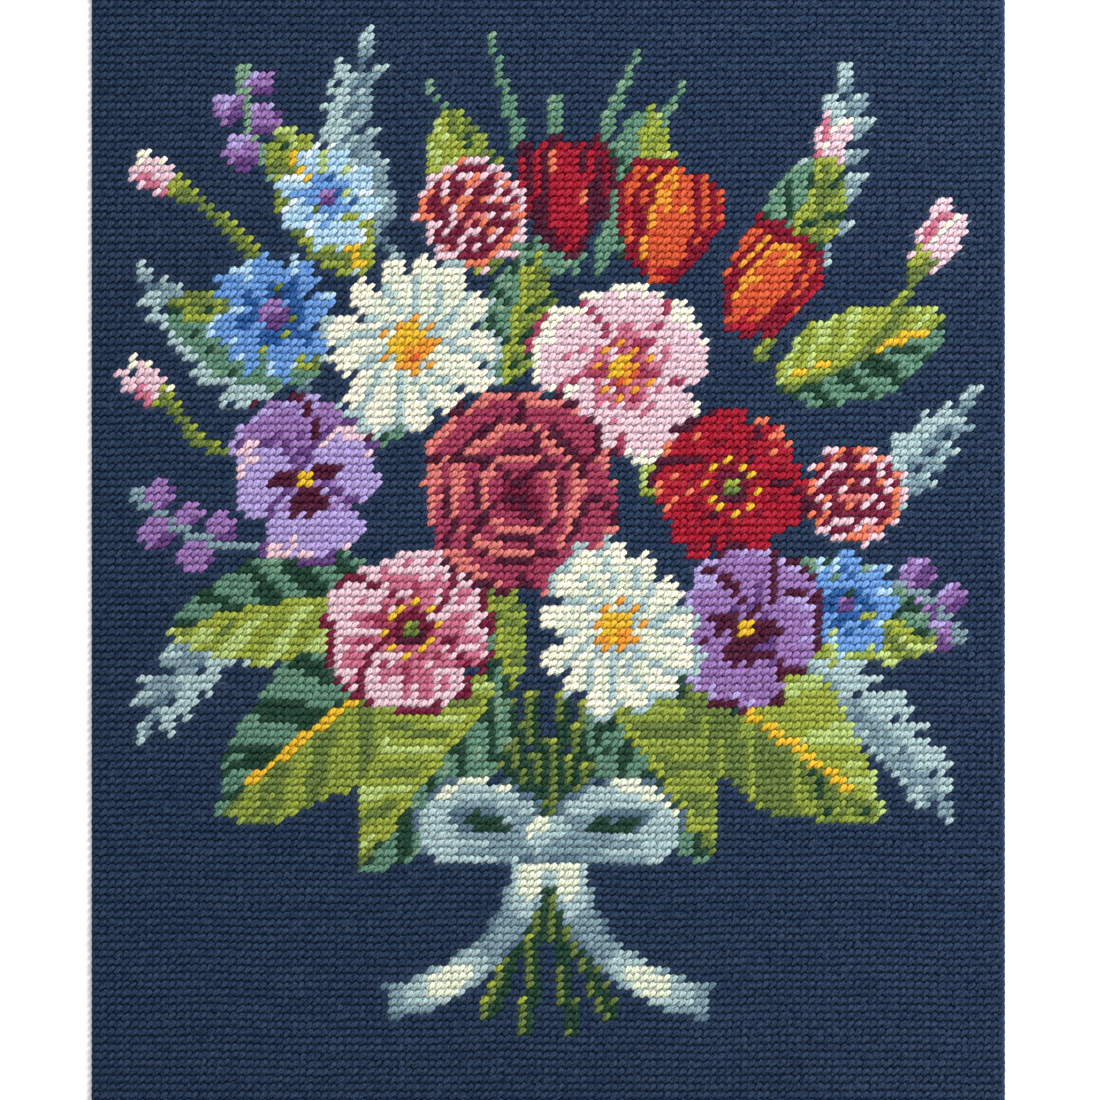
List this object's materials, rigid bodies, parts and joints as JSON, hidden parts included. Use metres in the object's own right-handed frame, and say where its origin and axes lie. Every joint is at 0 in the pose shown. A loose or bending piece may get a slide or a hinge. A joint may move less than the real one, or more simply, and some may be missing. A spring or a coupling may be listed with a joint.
{
  "type": "needlepoint canvas panel",
  "caption": "Flat rectangular needlepoint panel: an even-weave canvas fully covered with slanting wool tent stitches, with a flower bouquet on a dark blue ground.",
  "frame": {"origin": "middle of the panel's flat underside, on the surface that it lies on", "axes": "+X to the right along the rows of stitches, +Y up the picture along the panel's length, +Z out of the worked face"},
  "size_m": [0.3, 0.3656, 0.0024],
  "materials": {
    "ground_wool": "matte dark blue tapestry wool in slanting tent stitch",
    "flower_wool": "matte tapestry wool in reds, pinks, cream, violets, blues, orange and gold",
    "leaf_wool": "matte tapestry wool in lime, leaf, sage and bottle greens and pale teal",
    "canvas_cotton": "stiff unbleached cotton canvas threads"
  },
  "bodies": {
    "root": {"worked_canvas": "ground_wool"}
  },
  "joints": []
}
